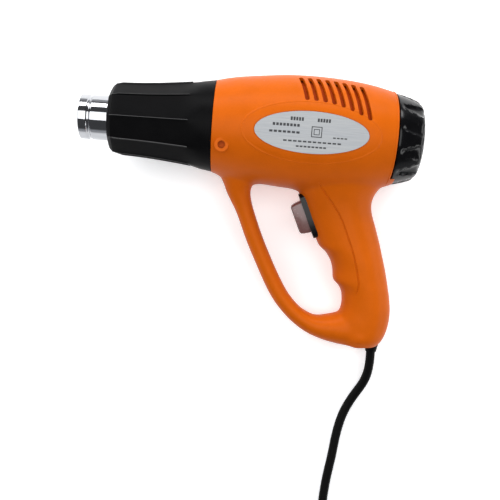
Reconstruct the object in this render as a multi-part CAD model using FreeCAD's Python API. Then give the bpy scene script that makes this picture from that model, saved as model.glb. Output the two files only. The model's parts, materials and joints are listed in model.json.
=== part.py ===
"""Hot-air gun with a closed D-shaped handle, lying on its right side.

Each piece is drawn in the gun's own frame, in millimetres: +X points from the
nozzle to the rear, +Y to the gun's right and +Z to its top, with the origin on
the barrel's axis where the housing begins.  lay_down() then turns a finished
piece onto its right side, so that it rests on the plane Z = 0.
The cord is drawn where it lies, in the resting frame.
"""
import FreeCAD, Part
import math
import os

from FreeCAD import Vector

os.makedirs("parts", exist_ok=True)

# ---- Driving dimensions, mm ------------------------------------------------
NOZZLE_TIP = -98.0
NOZZLE_R = 16.5
NOZZLE_WALL = 0.8
NOZZLE_REAR = 8.0
SHROUD_FRONT = -76.0
SHROUD_WALL = 2.6
HOUSING_REAR = 131.5
CAP_REAR = 150.0
WALL = 2.6
SIDE_FLAT = 38.5          # half width over the two flat side panels
LAY_ANGLE = 8.9           # lean of the gun's mid plane when it lies on its side
REST_SHIFT = Vector(-26.0, 59.77, 40.41)

# Barrel radius along the axis: (x, radius)
BARREL_LINE = [(0, 33.6), (14, 36.7), (31, 38.9), (52, 41.0), (73, 41.4), (95, 40.3), (114, 37.9),
               (HOUSING_REAR, 33.8)]
# Handle sections from the barrel down: (z, front x, rear x, half thickness)
HANDLE_LINE = [(-26, 62, 131, 24), (-41, 66.5, 123, 20.5), (-52, 70.5, 121.6, 19), (-66, 76.5, 126.4, 18.2),
               (-80, 84, 131.3, 18), (-93, 93, 135.4, 18), (-107, 98, 139.4, 17.6), (-118, 104.5, 142, 17.3),
               (-129, 106.5, 143.8, 17.2), (-141, 106, 143.4, 17), (-151, 106, 140.6, 16.4),
               (-157.5, 109, 136, 12.5)]
# Hand guard from the barrel to the handle's foot: (x, z, half width, half thickness)
GUARD_LINE = [(19, -29, 13, 14), (20.2, -42, 9.8, 11), (23, -51, 7.9, 9.3), (27.2, -61, 6.6, 8.6),
              (35.5, -80.7, 6.4, 8.4), (45.3, -100.4, 6.3, 8.4), (53.8, -115.9, 6.4, 8.4),
              (61.4, -126.9, 6.3, 8.4), (72.4, -137.6, 6.5, 8.6), (85.8, -144.6, 7.9, 9.6),
              (101, -145.9, 11.2, 12.6), (118, -146.2, 11.3, 14)]
# Rear cap radius along the axis
CAP_LINE = [(132.0, 33.4), (139, 31.6), (146, 29.4)]
CAP_EDGE = 3.5

# Housing screws: (x, z, depth of the head's seat from the mid plane, boss radius)
SCREWS = [(23, -52, 4.0, 3.6), (54, -116, 3.6, 3.4), (125, -143, 9.0, 4.0), (122, -80, 9.0, 4.0),
          (112, -47, 9.0, 4.0), (30, 33.4, 10.0, 2.8), (117, 29.5, 10.0, 3.6)]
SCREW_R = 1.4
HEAD_R = 2.7
HEAD_H = 2.0
FRONT_BOSS = (7.7, -12.6)
FRONT_BOSS_R = 4.9
FRONT_HOLE_R = 2.6

# Intake slots in each side of the barrel
SLOT_COUNT = 8
SLOT_PITCH = 6.17
SLOT_WIDTH = 2.7
SLOT_FIRST_X = 61.2

# Label on the left side panel
LABEL_LONG = 79.0
LABEL_HIGH = 28.6

# Motor and fan, all on the barrel's axis
SHAFT_R = 1.6
RUN_GAP = 0.05
FAN_R = 28.1
FAN_FRONT = 38.0
FAN_REAR = 54.0
FAN_BLADES = 9
DUCT_R = 30.4
DUCT_WALL = 1.5
MOTOR_R = 18.0
MOTOR_FRONT = 70.0
MOTOR_REAR = 106.0

# Heater inside the nozzle
SLEEVE_R = 15.4
COIL_R = 13.0
COIL_WIRE_R = 0.7
COIL_TURNS = 14

# Switch, set into the front of the handle
SWITCH_MID = Vector(74.4, 0, -60.6)
SWITCH_DOWN = Vector(0.409, 0, -0.9125)   # along the handle's front
SWITCH_OUT = Vector(-0.9125, 0, -0.409)   # away from the handle
BEZEL_LONG = 35.0
BEZEL_WIDE = 19.0
BEZEL_PROUD = 2.6
BUTTON_LONG = 24.0
BUTTON_WIDE = 12.4
BUTTON_PROUD = 11.0

# Cord
CORD_R = 3.5
CORD_EXIT = Vector(132.5, 0, -156.8)
BOOT_OUT = 5.5                  # boot's length outside the handle
BOOT_IN = 20.0                  # and inside it
BOOT_R = 5.2
COLLAR_R = 6.6
RING_MID = (37.0, -276.0)       # centre of the put-away coil on the floor
RING_R = 35.0                   # middle of its turns
RING_ROWS = 3
TIE_WALL = 0.8

# Cord's route on the floor, (x, y, height of its centre)
CORD_ROUTE = [Vector(106.5, -100.58, 15.3), Vector(107.2, -112.5, 13.2), Vector(104.5, -126.0, 9.2),
              Vector(96.5, -139.5, 5.5), Vector(90.0, -153.5, 3.8), Vector(86.3, -169.5, 3.5),
              Vector(84.3, -187.5, 3.5), Vector(81.0, -207.0, 3.5), Vector(79.3, -228.0, 3.6),
              Vector(79.7, -252.0, 4.1), Vector(78.9, -276.0, 4.3)]
# Cord's tail from the coil's top to the plug
TAIL_ROUTE = [Vector(37.0, -318.0, 18.3), Vector(25.0, -318.3, 16.9), Vector(12.5, -319.1, 12.3),
              Vector(1.0, -319.0, 9.4)]
PLUG_BACK = Vector(1.0, -319.0, 9.4)
PLUG_BOOT = 12.0
PLUG_LONG = 26.0
PLUG_WIDE = 22.0
PLUG_HIGH = 16.0
BLADE_LONG = 17.5
BLADE_HIGH = 6.3
BLADE_THICK = 1.5
BLADE_APART = 12.7

X_AXIS = Vector(1, 0, 0)
Y_AXIS = Vector(0, 1, 0)
Z_AXIS = Vector(0, 0, 1)
ORIGIN = Vector(0, 0, 0)


# ---- Small shape helpers ---------------------------------------------------
def rod(radius, x0, x1, y=0.0, z=0.0):
    """Solid cylinder along the barrel's axis."""
    return Part.makeCylinder(radius, x1 - x0, Vector(x0, y, z), X_AXIS)


def ring(outer, inner, x0, x1):
    """Tube along the barrel's axis."""
    return rod(outer, x0, x1).cut(rod(inner, x0 - 1, x1 + 1))


def cross_rod(radius, x, z, y0, y1):
    """Solid cylinder across the gun, along Y."""
    return Part.makeCylinder(radius, y1 - y0, Vector(x, y0, z), Y_AXIS)


def block(x0, x1, y0, y1, z0, z1):
    return Part.makeBox(x1 - x0, y1 - y0, z1 - z0, Vector(x0, y0, z0))


def turned(points):
    """Solid of revolution about the barrel's axis from (x, radius) corners."""
    corners = [Vector(x, 0, r) for x, r in points]
    wire = Part.makePolygon(corners + [corners[0]])
    return Part.Face(wire).revolve(ORIGIN, X_AXIS, 360)


def turned_curve(points, inset, x_grow=0.0):
    """Solid of revolution under a smooth line of (x, radius) points."""
    line = [Vector(x, 0, r - inset) for x, r in points]
    curve = Part.BSplineCurve()
    curve.interpolate(line)
    first = line[0]
    last = line[-1]
    front = Vector(first.x - x_grow, 0, first.z)
    rear = Vector(last.x + x_grow, 0, last.z)
    edges = [curve.toShape()]
    corners = [last, rear, Vector(rear.x, 0, 0), Vector(front.x, 0, 0), front, first]
    for start, end in zip(corners, corners[1:]):
        if (end - start).Length > 1e-6:
            edges.append(Part.makeLine(start, end))
    return Part.Face(Part.Wire(edges)).revolve(ORIGIN, X_AXIS, 360)


def oval(centre, major, a, minor, b):
    """Closed ellipse wire with its longer half axis a along major."""
    curve = Part.Ellipse(centre + major * a, centre + minor * b, centre)
    return Part.Wire([curve.toShape()])


def barrel_radius(x):
    """Barrel radius at x, straight between the driving points."""
    for (x0, r0), (x1, r1) in zip(BARREL_LINE, BARREL_LINE[1:]):
        if x <= x1:
            return r0 + (r1 - r0) * (x - x0) / (x1 - x0)
    return BARREL_LINE[-1][1]


def switch_box(long, wide, out0, out1):
    """Box on the switch's own axes, from out0 to out1 along SWITCH_OUT."""
    box = Part.makeBox(long, wide, out1 - out0, Vector(-long / 2, -wide / 2, out0))
    return to_switch(box)


def to_switch(shape):
    """Bring a shape drawn with X down the handle and Z outwards onto the handle's front."""
    matrix = FreeCAD.Matrix(
        SWITCH_DOWN.x, 0, SWITCH_OUT.x, SWITCH_MID.x,
        SWITCH_DOWN.y, -1, SWITCH_OUT.y, SWITCH_MID.y,
        SWITCH_DOWN.z, 0, SWITCH_OUT.z, SWITCH_MID.z,
        0, 0, 0, 1)
    moved = shape.copy()
    moved.Placement = FreeCAD.Placement(matrix).multiply(shape.Placement)
    return moved


def arc_radius(before, corner, after):
    """Radius of the tangent arc at a corner of a cord's route."""
    turn = (corner - before).getAngle(after - corner)
    shorter = min((corner - before).Length, (after - corner).Length)
    return 0.45 * shorter / math.tan(turn / 2)


def route_wire(points):
    """Straight runs joined by tangent arcs."""
    edges = []
    start = points[0]
    for before, corner, after in zip(points, points[1:], points[2:]):
        back = (before - corner).normalize()
        ahead = (after - corner).normalize()
        reach = 0.45 * min((before - corner).Length, (after - corner).Length)
        half_turn = (corner - before).getAngle(after - corner) / 2
        radius = arc_radius(before, corner, after)
        into = corner + back * reach
        out = corner + ahead * reach
        inward = (back + ahead).normalize()
        middle = corner + inward * (radius / math.cos(half_turn) - radius)
        edges.append(Part.LineSegment(start, into).toShape())
        edges.append(Part.Arc(into, middle, out).toShape())
        start = out
    edges.append(Part.LineSegment(start, points[-1]).toShape())
    return Part.Wire(edges)


def tube(points, radius):
    """Round cord along a route."""
    path = route_wire(points)
    way = points[1] - points[0]
    section = Part.Wire([Part.makeCircle(radius, points[0], way)])
    return path.makePipeShell([section], True, False), path.Length


def lay_down(shape):
    """Turn a piece from the gun's frame onto its right side on the plane Z = 0."""
    laid = shape.copy()
    laid.rotate(ORIGIN, X_AXIS, LAY_ANGLE - 90)
    laid.translate(REST_SHIFT)
    return laid


# ---- Housing ---------------------------------------------------------------
def barrel_core(inset, x_grow=0.0):
    """Round barrel with a flat panel on each side."""
    half = SIDE_FLAT - inset
    slab = block(-60, 200, -half, half, -60, 60)
    return turned_curve(BARREL_LINE, inset, x_grow).common(slab)


def handle_core(inset):
    """Pistol grip, lofted through level ovals."""
    wires = []
    for z, front, rear, half in HANDLE_LINE:
        foot = inset if z == HANDLE_LINE[-1][0] else 0
        centre = Vector((front + rear) / 2, 0, z + foot)
        wires.append(oval(centre, X_AXIS, (rear - front) / 2 - inset, Y_AXIS, half - inset))
    return Part.makeLoft(wires, True, False)


def guard_core(inset):
    """Round bar that closes the D, lofted square to its own line."""
    middles = [Vector(x, 0, z) for x, z, a, b in GUARD_LINE]
    wires = []
    for i, (x, z, a, b) in enumerate(GUARD_LINE):
        way = middles[min(i + 1, len(middles) - 1)] - middles[max(i - 1, 0)]
        across = Vector(-way.z, 0, way.x).normalize()
        wires.append(oval(middles[i], Y_AXIS, b - inset, across, a - inset))
    return Part.makeLoft(wires, True, False)


def slot_cutters(side):
    """Slanted intake slots in one side of the barrel; side is -1 left or +1 right."""
    cutters = []
    for i in range(SLOT_COUNT):
        top_angle = math.radians(66 - 0.15 * i * i)
        low_angle = math.radians(33.4 - 0.27 * i * i)
        top_x = SLOT_FIRST_X + SLOT_PITCH * i
        low_x = top_x + 4.7 + 0.15 * i
        ends = []
        for x, angle in ((top_x, top_angle), (low_x, low_angle)):
            r = barrel_radius(x)
            ends.append(Vector(x, side * r * math.cos(angle), r * math.sin(angle)))
        along = ends[1] - ends[0]
        middle = (ends[0] + ends[1]) * 0.5
        out = Vector(0, middle.y, middle.z)
        out = (out - along * (out.dot(along) / along.dot(along))).normalize()
        box = Part.makeBox(along.Length, SLOT_WIDTH, 14, Vector(-along.Length / 2, -SLOT_WIDTH / 2, -7))
        across = out.cross(along).normalize()
        way = Vector(along).normalize()
        box.Placement = FreeCAD.Placement(FreeCAD.Matrix(
            way.x, across.x, out.x, middle.x,
            way.y, across.y, out.y, middle.y,
            way.z, across.z, out.z, middle.z,
            0, 0, 0, 1))
        cutters.append(box)
    return cutters


def housing_shell():
    """Both halves of the housing in one, before it is split and drilled."""
    outer = barrel_core(0).fuse([handle_core(0), guard_core(0)])
    inner = barrel_core(WALL, 6).fuse([handle_core(WALL), guard_core(WALL)])
    return outer, outer.cut(inner)


def housing_half(outer, shell, side):
    """One half of the housing; side is -1 left or +1 right."""
    y0 = 0 if side > 0 else -80
    half_space = block(-60, 220, y0, y0 + 80, -220, 80)
    half = shell.common(half_space)
    room = outer.common(half_space)
    for x, z, seat, boss_r in SCREWS:
        ends = (0, 40) if side > 0 else (-40, 0)
        half = half.fuse(cross_rod(boss_r, x, z, *ends).common(room))
    boss_y = (25.7, 34.4) if side > 0 else (-34.4, -25.7)
    half = half.fuse(cross_rod(FRONT_BOSS_R, *FRONT_BOSS, *boss_y))
    cutters = slot_cutters(side)
    for x, z, seat, boss_r in SCREWS:
        if side > 0:
            cutters.append(cross_rod(SCREW_R, x, z, -1, 45))
            cutters.append(cross_rod(HEAD_R + 0.2, x, z, seat, 45))
        else:
            cutters.append(cross_rod(SCREW_R, x, z, -seat * 0.8, 1))
    hole_y = (20, 40) if side > 0 else (-40, -20)
    cutters.append(cross_rod(FRONT_HOLE_R, *FRONT_BOSS, *hole_y))
    cutters.append(switch_box(BEZEL_LONG + 0.3, BEZEL_WIDE + 0.3, -26, 12))
    cutters.append(Part.makeCylinder(BOOT_R + 0.2, BOOT_IN + 8, CORD_EXIT + Vector(0, 0, -6), Z_AXIS))
    cutters.append(Part.makeCylinder(COLLAR_R + 0.2, 3.4, CORD_EXIT + Vector(0, 0, 4.3), Z_AXIS))
    return half.cut(cutters)


def rating_label():
    """Thin oval plate on the left flat panel."""
    centre = Vector(69.2, -SIDE_FLAT, 0)
    face = Part.Face(oval(centre, X_AXIS, LABEL_LONG / 2, Z_AXIS, LABEL_HIGH / 2))
    return face.extrude(Vector(0, -0.3, 0))


# ---- Front end -------------------------------------------------------------
def heat_shroud():
    """Black nose piece that keeps fingers off the hot tube."""
    f = SHROUD_FRONT
    w = SHROUD_WALL
    outer = [(f, 19.5), (f + 1.3, 22.6), (f + 3.4, 24.8), (f + 7, 26.2), (-52, 27.2), (-35, 28.7),
             (-19, 30.6), (-8, 32.2), (-0.3, 33.4)]
    inner = [(-0.3, 30.6), (2.2, 30.6), (2.2, 28.4), (-8, 28.4), (-19, 30.6 - w), (-35, 28.7 - w),
             (-52, 27.2 - w), (f + 7, 23.4), (f + 3, 21.6), (f + 3, 17.2), (f, 17.2)]
    body = turned(outer + inner)
    rib_r = 31.0
    ribs = []
    for i in range(12):
        rib = block(f + 12, -15, -0.9, 0.9, 24.0, rib_r)
        rib.rotate(ORIGIN, X_AXIS, 30 * i + 15)
        ribs.append(rib)
    skin = [(f + 12, 20)] + [(x, r + 0.6) for x, r in [(f + 12, 26.5), (-52, 27.2), (-35, 28.7), (-15, 31.0)]]
    skin += [(-15, 20)]
    body = body.fuse([rib.common(turned(skin)).cut(rod(25.5, f, 0)) for rib in ribs])
    for side in (-1, 1):
        inner_y = 21.4 if side > 0 else -25.4
        tab = block(-3, 12.5, inner_y, inner_y + 4, -18.5, -7)
        body = body.fuse(tab.common(rod(30.2, -4, 13)))
        body = body.cut(cross_rod(SCREW_R, *FRONT_BOSS, inner_y - 1, inner_y + 5))
    return body


def nozzle_tube():
    """Steel outlet tube with a rolled lip and the flange that holds it in the shroud."""
    r = NOZZLE_R
    t = NOZZLE_TIP
    neck = SHROUD_FRONT - 0.2
    flange = SHROUD_FRONT + 3.3
    tube_out = turned([(t, 0), (t, r - 0.4), (t + 0.4, r), (t + 6.8, r), (t + 7.4, r - 0.4),
                       (t + 8.6, r - 0.4), (t + 9.2, r), (neck, r), (neck, r - 0.3),
                       (NOZZLE_REAR, r - 0.3), (NOZZLE_REAR, 0)])
    collar = rod(21.2, flange, flange + 1.2)
    return tube_out.fuse(collar).cut(rod(r - NOZZLE_WALL, t - 1, NOZZLE_REAR + 1))


def outlet_guard():
    """Ring with a cross of wires that keeps fingers and objects off the coil."""
    x0 = NOZZLE_TIP + 11.3
    guard = ring(15.4, 14.2, x0, x0 + 2)
    for angle in (0, 90):
        bar = block(x0 + 0.4, x0 + 1.6, -0.6, 0.6, -14.6, 14.6)
        bar.rotate(ORIGIN, X_AXIS, angle + 45)
        guard = guard.fuse(bar)
    return guard


def heat_shield():
    """Thin steel tube between the hot nozzle and the shroud."""
    return ring(22.4, 21.9, SHROUD_FRONT + 4.8, -9)


def shroud_spacer():
    """Ceramic-fibre ring that centres the nozzle in the heat shield."""
    return ring(21.7, NOZZLE_R - 0.25, -30, -24)


def seal_ring():
    return ring(17.9, NOZZLE_R - 0.25, 3, 7.5)


def mica_sleeve():
    return ring(SLEEVE_R, SLEEVE_R - 0.8, -84.2, 1)


def mica_board(angle, slot_front):
    """One of two halved mica boards that cross on the axis."""
    board = block(-82, -4, -0.5, 0.5, -12.2, 12.2)
    slot_x = (-83, -43) if slot_front else (-43, -3)
    board = board.cut(block(*slot_x, -0.55, 0.55, -0.55, 0.55))
    board.rotate(ORIGIN, X_AXIS, angle)
    return board


def heating_coil():
    """Turns of resistance wire round the mica cross, one ring for each turn."""
    pitch = 70.0 / (COIL_TURNS - 1)
    rings = []
    for i in range(COIL_TURNS):
        rings.append(Part.makeTorus(COIL_R, COIL_WIRE_R, Vector(-78 + pitch * i, 0, 0), X_AXIS))
    return Part.makeCompound(rings)


def end_disc(x0):
    """Mica disc with air holes at one end of the heater."""
    disc = rod(14.3, x0, x0 + 1.2)
    for i in range(8):
        angle = math.radians(22.5 + 45 * i)
        disc = disc.cut(rod(2.6, x0 - 1, x0 + 2, 9.5 * math.cos(angle), 9.5 * math.sin(angle)))
    return disc


def thermal_cutout():
    return block(-18, -8, 1.5, 7.0, 1.5, 6.5)


def thermal_fuse():
    return rod(1.6, -20, -8, -4.5, 4.5)


# ---- Fan and motor ---------------------------------------------------------
def air_duct():
    """Duct round the fan that narrows to the heater and carries the motor."""
    w = DUCT_WALL
    r = DUCT_R
    duct = turned([(2, 19.5), (10, 19.5), (20, 25.6), (20, 34.5), (22, 34.5), (22, 26.8), (28, r), (63, r),
                   (63, r - w), (28, r - w), (10, 18), (2, 18)])
    sleeve = ring(MOTOR_R + 2, MOTOR_R + 0.2, 60, 86)
    duct = duct.fuse(sleeve)
    for i in range(4):
        arm = block(58.5, 63, -1.5, 1.5, MOTOR_R + 1, r - w + 0.5)
        arm.rotate(ORIGIN, X_AXIS, 45 + 90 * i)
        duct = duct.fuse(arm)
    return duct


def motor_can():
    can = rod(MOTOR_R, MOTOR_FRONT, MOTOR_REAR).cut(rod(MOTOR_R - 1.2, MOTOR_FRONT + 1.5, MOTOR_REAR + 1))
    can = can.fuse(rod(5.5, MOTOR_FRONT - 3, MOTOR_FRONT + 1))
    return can.cut(rod(4.0, MOTOR_FRONT - 5, MOTOR_FRONT + 3))


def motor_magnets():
    """Two magnet shells inside the can."""
    shell = ring(MOTOR_R - 1.25, 13.6, MOTOR_FRONT + 5, MOTOR_REAR - 5)
    return shell.cut(block(60, 120, -20, 20, -4, 4))


def motor_bearing(x0):
    """Plain bush that carries the shaft."""
    return ring(4.0, SHAFT_R + RUN_GAP, x0, x0 + 4.5)


def motor_end_bell():
    """Plastic rear cover of the motor with the brush guides."""
    r = MOTOR_REAR
    bell = rod(MOTOR_R, r, r + 9).cut(rod(MOTOR_R - 2, r - 1, r + 6))
    bell = bell.fuse(rod(6.5, r + 3.5, r + 9))
    return bell.cut(rod(4.0, r + 2, r + 10))


def motor_brushes():
    """Two carbon brushes on the commutator."""
    left = block(100.8, 104.8, 6.3, 12.8, -2, 2)
    right = block(100.8, 104.8, -12.8, -6.3, -2, 2)
    return Part.makeCompound([left, right])


def motor_shaft():
    return rod(SHAFT_R, FAN_FRONT - 1.5, 116.5)


def fan_impeller():
    """Axial fan: a hub and pitched blades."""
    hub = rod(9, FAN_FRONT, FAN_REAR)
    width = FAN_REAR - FAN_FRONT
    blades = []
    for i in range(FAN_BLADES):
        blade = Part.makeBox(22, 1.3, 21, Vector(-11, -0.65, 8))
        blade.rotate(ORIGIN, Z_AXIS, 40)
        blade.translate(Vector((FAN_FRONT + FAN_REAR) / 2, 0, 0))
        blade.rotate(ORIGIN, X_AXIS, 360 / FAN_BLADES * i)
        blades.append(blade)
    room = rod(FAN_R, FAN_FRONT + 0.6, FAN_FRONT + width - 0.6)
    fan = hub.fuse([blade.common(room) for blade in blades])
    return fan.cut(rod(SHAFT_R, FAN_FRONT - 1, FAN_REAR + 1))


def armature_core():
    """Laminated armature with winding slots."""
    core = rod(12.6, 78, 96)
    for i in range(5):
        slot = block(77, 97, -1.1, 1.1, 9, 14)
        slot.rotate(ORIGIN, X_AXIS, 72 * i)
        core = core.cut(slot)
    return core.cut(rod(SHAFT_R, 77, 97))


def armature_windings():
    """Copper end windings, one bundle at each end of the core."""
    return Part.makeCompound([ring(11, SHAFT_R + 1, 74.5, 78), ring(11, SHAFT_R + 1, 96, 99.5)])


def commutator():
    return ring(6, SHAFT_R, 100, 106)


# ---- Electrics -------------------------------------------------------------
def rectifier_board():
    return block(120.5, 122, -16, 16, -12, 12)


def rectifier_diodes():
    """Four diodes in a row on the board."""
    return Part.makeCompound([rod(1.4, 122, 127.5, -10 + 6 * i, 7) for i in range(4)])


def capacitor():
    return block(122, 128, -8, 6, -10, -1)


def motor_leads():
    """Two wires from the board to the motor's end bell."""
    leads = [rod(0.8, 115, 120.5, 0, 10), rod(0.8, 115, 120.5, 0, -10.5)]
    return Part.makeCompound(leads)


# ---- Rear cap --------------------------------------------------------------
def rear_cap():
    """Ribbed cap that closes the barrel, with air slots in its flat back."""
    w = 2.4
    e = CAP_EDGE
    last_r = CAP_LINE[-1][1]
    edge = [(CAP_REAR - e * (1 - math.sin(a)), last_r - 1.2 - e * (1 - math.cos(a)))
            for a in [math.radians(d) for d in (0, 30, 60, 90)]]
    outer = CAP_LINE + edge
    inner = [(CAP_REAR, 0), (CAP_REAR - w, 0), (CAP_REAR - w, last_r - 4.5), (CAP_REAR - 5, last_r - w),
             (139, 31.6 - w), (132, 28.6), (127.5, 28.4), (127.5, 30.5), (132.0, 30.5)]
    cap = turned(outer + inner)
    for i in range(24):
        groove = block(134, CAP_REAR - 3, -0.9, 0.9, 20, 40)
        skin = turned([(130, 45), (130, 33.4), (139, 31.1), (146, 28.9), (149, 27.4), (152, 45)])
        groove.rotate(ORIGIN, X_AXIS, 15 * i)
        cap = cap.cut(groove.common(skin))
    for i in range(12):
        slot = block(CAP_REAR - 4, CAP_REAR + 1, -1.1, 1.1, 10, 20)
        slot.rotate(ORIGIN, X_AXIS, 30 * i)
        cap = cap.cut(slot)
    return cap


# ---- Switch ----------------------------------------------------------------
def rounded_block(long, wide, z0, z1, corner):
    """Upright block about Z with rounded upright edges."""
    box = Part.makeBox(long, wide, z1 - z0, Vector(-long / 2, -wide / 2, z0))
    upright = [e for e in box.Edges if abs(e.tangentAt(e.FirstParameter).z) > 0.99]
    return box.makeFillet(corner, upright)


def switch_bezel():
    """Black frame round the rocker."""
    frame = rounded_block(BEZEL_LONG, BEZEL_WIDE, -7.5, BEZEL_PROUD, 2.5)
    window = rounded_block(BUTTON_LONG + 2.8, BUTTON_WIDE + 1.0, -9, BEZEL_PROUD + 1, 1.6)
    pocket = Part.makeBox(8.4, 16.4, 10, Vector(-4.2, -8.2, -9.8))
    return to_switch(frame.cut([window, pocket]))


def switch_rocker():
    """Finger rocker that pivots between its two on positions."""
    top = rounded_block(BUTTON_LONG, BUTTON_WIDE, -1.0, BUTTON_PROUD, 1.8)
    rim = [e for e in top.Edges if e.BoundBox.ZMin > BUTTON_PROUD - 0.01]
    top = top.makeFillet(1.5, rim)
    foot = Part.makeBox(14, 9.0, 5, Vector(-7, -4.5, -5.5))
    rocker = top.fuse(foot)
    bore = Part.makeCylinder(1.0 + RUN_GAP, 20, Vector(0, -10, -2.0), Y_AXIS)
    return to_switch(rocker.cut(bore))


def switch_pin():
    """Steel pin that the rocker turns on."""
    return to_switch(Part.makeCylinder(1.0, 16.0, Vector(0, -8.0, -2.0), Y_AXIS))


def switch_body():
    """Switch block with two cheeks that hold the pin."""
    base = Part.makeBox(28, 15, 15, Vector(-14, -7.5, -23))
    cheek_a = Part.makeBox(8, 1.6, 8.5, Vector(-4, -8.0, -8.5))
    cheek_b = Part.makeBox(8, 1.6, 8.5, Vector(-4, 6.4, -8.5))
    body = base.fuse([cheek_a, cheek_b])
    bore = Part.makeCylinder(1.0, 20, Vector(0, -10, -2.0), Y_AXIS)
    return to_switch(body.cut(bore))


def switch_terminals():
    """Three blade terminals on the back of the switch."""
    blades = [Part.makeBox(4.8, 0.8, 7, Vector(x - 2.4, -0.4, -30)) for x in (-9, 0, 9)]
    return to_switch(Part.makeCompound(blades))


# ---- Cord entry ------------------------------------------------------------
def strain_relief():
    """Rubber boot with a collar that the housing grips."""
    inside = Part.makeCylinder(BOOT_R, BOOT_IN, CORD_EXIT, Z_AXIS)
    neck = Part.makeCone(CORD_R + 0.6, BOOT_R, BOOT_OUT, CORD_EXIT - Vector(0, 0, BOOT_OUT), Z_AXIS)
    collar = Part.makeCylinder(COLLAR_R, 3, CORD_EXIT + Vector(0, 0, 4.5), Z_AXIS)
    return inside.fuse([neck, collar])


def cord_inner_end():
    """Cord's end inside the foot, where the clamp holds it."""
    return Part.makeCylinder(CORD_R, 14, CORD_EXIT + Vector(0, 0, BOOT_IN), Z_AXIS)


def cord_clamp():
    """Plastic bridge that grips the cord inside the foot."""
    base = CORD_EXIT + Vector(0, 0, BOOT_IN + 3)
    return Part.makeBox(14, 4.5, 7, base + Vector(-9, CORD_R + 0.1, 0))


def clamp_screws():
    """Two screws through the clamp."""
    base = CORD_EXIT + Vector(0, 0, BOOT_IN + 6.5)
    screws = []
    for x in (-6.5, 2.5):
        screws.append(Part.makeCylinder(1.2, 2.0, base + Vector(x, CORD_R + 4.6, 0), Y_AXIS))
    return Part.makeCompound(screws)


def supply_wires():
    """Two wires up the handle from the cord to the switch."""
    wires = []
    for side in (-1, 1):
        y = 1.9 * side
        low = CORD_EXIT + Vector(0, y, BOOT_IN + 14)
        points = [low, low + Vector(0, 0, 10), Vector(126, y, -98), Vector(117, 2 * y, -86),
                  Vector(109.5, 2 * y, -76.5)]
        wires.append(tube(points, 1.1)[0])
    return Part.makeCompound(wires)


def housing_screws():
    """All the screws that close the housing, driven from the right."""
    screws = []
    for x, z, seat, boss_r in SCREWS:
        shank = cross_rod(SCREW_R, x, z, -seat * 0.75, seat)
        screws.append(shank.fuse(cross_rod(HEAD_R, x, z, seat, seat + HEAD_H)))
    return Part.makeCompound(screws)


def shroud_screws():
    """One screw each side, deep in the front bosses, that holds the shroud."""
    screws = []
    for side in (-1, 1):
        ys = (21.0, 26.5) if side > 0 else (-26.5, -21.0)
        heads = (26.5, 28.0) if side > 0 else (-28.0, -26.5)
        shank = cross_rod(SCREW_R, *FRONT_BOSS, *ys)
        screws.append(shank.fuse(cross_rod(2.3, *FRONT_BOSS, *heads)))
    return Part.makeCompound(screws)


# ---- Cord, drawn where it lies --------------------------------------------
def cord_coil():
    """Outer shape of the put-away coil, three turns wide and three high."""
    x, y = RING_MID
    half = RING_ROWS * CORD_R
    low = TIE_WALL
    section = Part.makePolygon([
        Vector(RING_R - half + 1.5, 0, low), Vector(RING_R + half - 1.5, 0, low),
        Vector(RING_R + half, 0, low + 1.5), Vector(RING_R + half, 0, low + 2 * half - 1.5),
        Vector(RING_R + half - 1.5, 0, low + 2 * half), Vector(RING_R - half + 1.5, 0, low + 2 * half),
        Vector(RING_R - half, 0, low + 2 * half - 1.5), Vector(RING_R - half, 0, low + 1.5),
        Vector(RING_R - half + 1.5, 0, low)])
    coil = Part.Face(section).revolve(ORIGIN, Z_AXIS, 360)
    coil.translate(Vector(x, y, 0))
    return coil


def coil_tie():
    """Strap round the coil's turns, on the side away from the gun."""
    x, y = RING_MID
    half = RING_ROWS * CORD_R
    outer = Part.makeBox(9, 2 * (half + TIE_WALL), 2 * half + 2 * TIE_WALL,
                         Vector(-4.5, -RING_R - half - TIE_WALL, 0))
    inner = Part.makeBox(11, 2 * half, 2 * half, Vector(-5.5, -RING_R - half, TIE_WALL))
    tie = outer.cut(inner)
    tie.rotate(ORIGIN, Z_AXIS, -90)
    tie.translate(Vector(x, y, 0))
    return tie


def plug_body():
    """Moulded plug with a tapered boot, pointing along -X."""
    back = PLUG_BACK
    boot = Part.makeCone(CORD_R + 0.6, 6.2, PLUG_BOOT, back, Vector(-1, 0, 0))
    block_x = back.x - PLUG_BOOT - PLUG_LONG
    body = Part.makeBox(PLUG_LONG, PLUG_WIDE, PLUG_HIGH,
                        Vector(block_x, back.y - PLUG_WIDE / 2, back.z - PLUG_HIGH / 2))
    body = body.makeFillet(3.5, [e for e in body.Edges if abs(e.tangentAt(e.FirstParameter).x) > 0.99])
    return body.fuse(boot)


def plug_blades():
    """Two flat parallel blades."""
    front = PLUG_BACK.x - PLUG_BOOT - PLUG_LONG
    blades = []
    for side in (-1, 1):
        y = PLUG_BACK.y + side * BLADE_APART / 2 - BLADE_THICK / 2
        blades.append(Part.makeBox(BLADE_LONG, BLADE_THICK, BLADE_HIGH,
                                   Vector(front - BLADE_LONG, y, PLUG_BACK.z - BLADE_HIGH / 2)))
    return Part.makeCompound(blades)


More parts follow.
